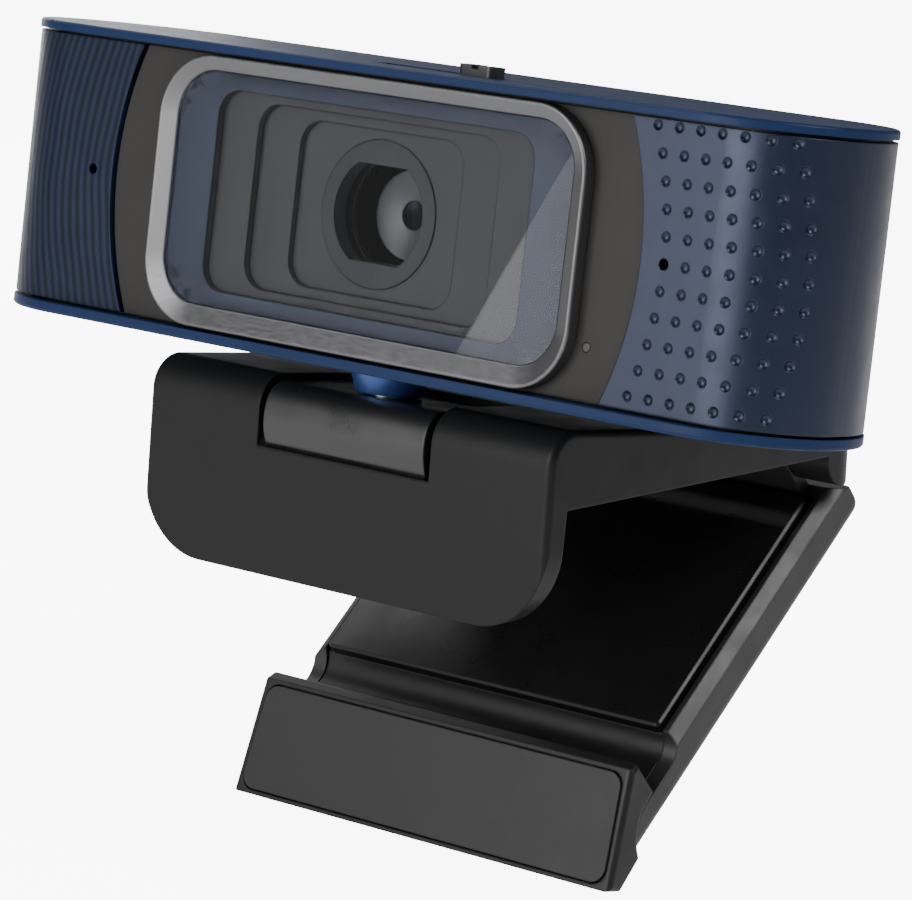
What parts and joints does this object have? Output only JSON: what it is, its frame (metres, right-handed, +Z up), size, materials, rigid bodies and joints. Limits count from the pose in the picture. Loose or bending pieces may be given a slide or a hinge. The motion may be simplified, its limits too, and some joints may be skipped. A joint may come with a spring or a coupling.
{
  "type": "webcam",
  "caption": "Clip-on webcam: a wide rounded camera head with a privacy slider swivels and tilts on a folding monitor clip.",
  "frame": {"origin": "middle of the lower face of the pad that rests on a monitor's top edge", "axes": "+X to the right as seen from in front of the lens, +Y to the back, +Z up"},
  "size_m": [0.102, 0.0543, 0.0795],
  "materials": {
    "blue_shell": "satin",
    "blue_cap": "satin",
    "panel_grey": "satin",
    "bezel_metal": "satin",
    "window_glass": "polished",
    "mask_grey": "matte",
    "hood_black": "satin",
    "lens_glass": "polished",
    "inner_black": "matte",
    "knob_black": "gloss",
    "clip_plastic": "satin",
    "leg_plastic": "satin",
    "pad_gloss": "gloss",
    "pad_rubber": "matte",
    "steel": "satin",
    "board_green": "satin",
    "sensor_dark": "polished",
    "light_lens": "gloss"
  },
  "bodies": {
    "clip": {"clip_plate": "clip_plastic", "seat_cover": "clip_plastic", "cover_screws": "steel", "seat_pad": "pad_rubber", "lip_pad": "pad_rubber", "tilt_pin": "steel", "tilt_washers": "steel", "hinge_pin": "steel"},
    "leg": {"leg_shell": "leg_plastic", "leg_core": "inner_black", "leg_pad": "pad_gloss", "foot_pad": "pad_rubber", "hinge_bushes": "steel", "leg_screws": "steel", "tripod_nut": "steel"},
    "tilt": {"tilt_block": "clip_plastic", "swivel_post": "steel", "swivel_washer": "steel", "swivel_nut": "steel"},
    "head": {"bezel": "bezel_metal", "board_screws": "steel", "bottom_cap": "blue_cap", "cable_gland": "knob_black", "cable_socket": "steel", "chassis": "inner_black", "front_glass": "window_glass", "front_lens": "lens_glass", "front_panel": "panel_grey", "image_sensor": "sensor_dark", "infrared_filter": "lens_glass", "left_microphone": "steel", "left_microphone_boot": "pad_rubber", "left_wing": "blue_shell", "lens_barrel": "hood_black", "lens_holder": "hood_black", "lens_hood": "hood_black", "lens_retainer": "hood_black", "lens_surround": "mask_grey", "main_board": "board_green", "neck_collar": "blue_cap", "rear_cover": "blue_shell", "rear_lens": "lens_glass", "right_microphone": "steel", "right_microphone_boot": "pad_rubber", "right_wing": "blue_shell", "shutter_rail": "inner_black", "status_light": "light_lens", "top_cap": "blue_cap", "window_mask": "mask_grey"},
    "shutter": {"shutter_blade": "inner_black", "shutter_knob": "knob_black"}
  },
  "joints": [
    {"name": "leg_fold", "type": "hinge", "parent": "clip", "child": "leg", "pos_m": [0, 0.0246, 0.00015], "axis": [1, 0, 0], "range_deg": [-31, 79]},
    {"name": "head_tilt", "type": "hinge", "parent": "clip", "child": "tilt", "pos_m": [0, -0.0165, 0.00375], "axis": [1, 0, 0], "range_deg": [-6, 16]},
    {"name": "head_swivel", "type": "hinge", "parent": "tilt", "child": "head", "pos_m": [0, -0.0165, 0.00375], "axis": [0, 0.1052, 0.9944], "range_deg": [-180, 180]},
    {"name": "shutter_slide", "type": "slide", "parent": "head", "child": "shutter", "axis": [-1, 0, 0], "range_m": [0, 0.0105]}
  ]
}
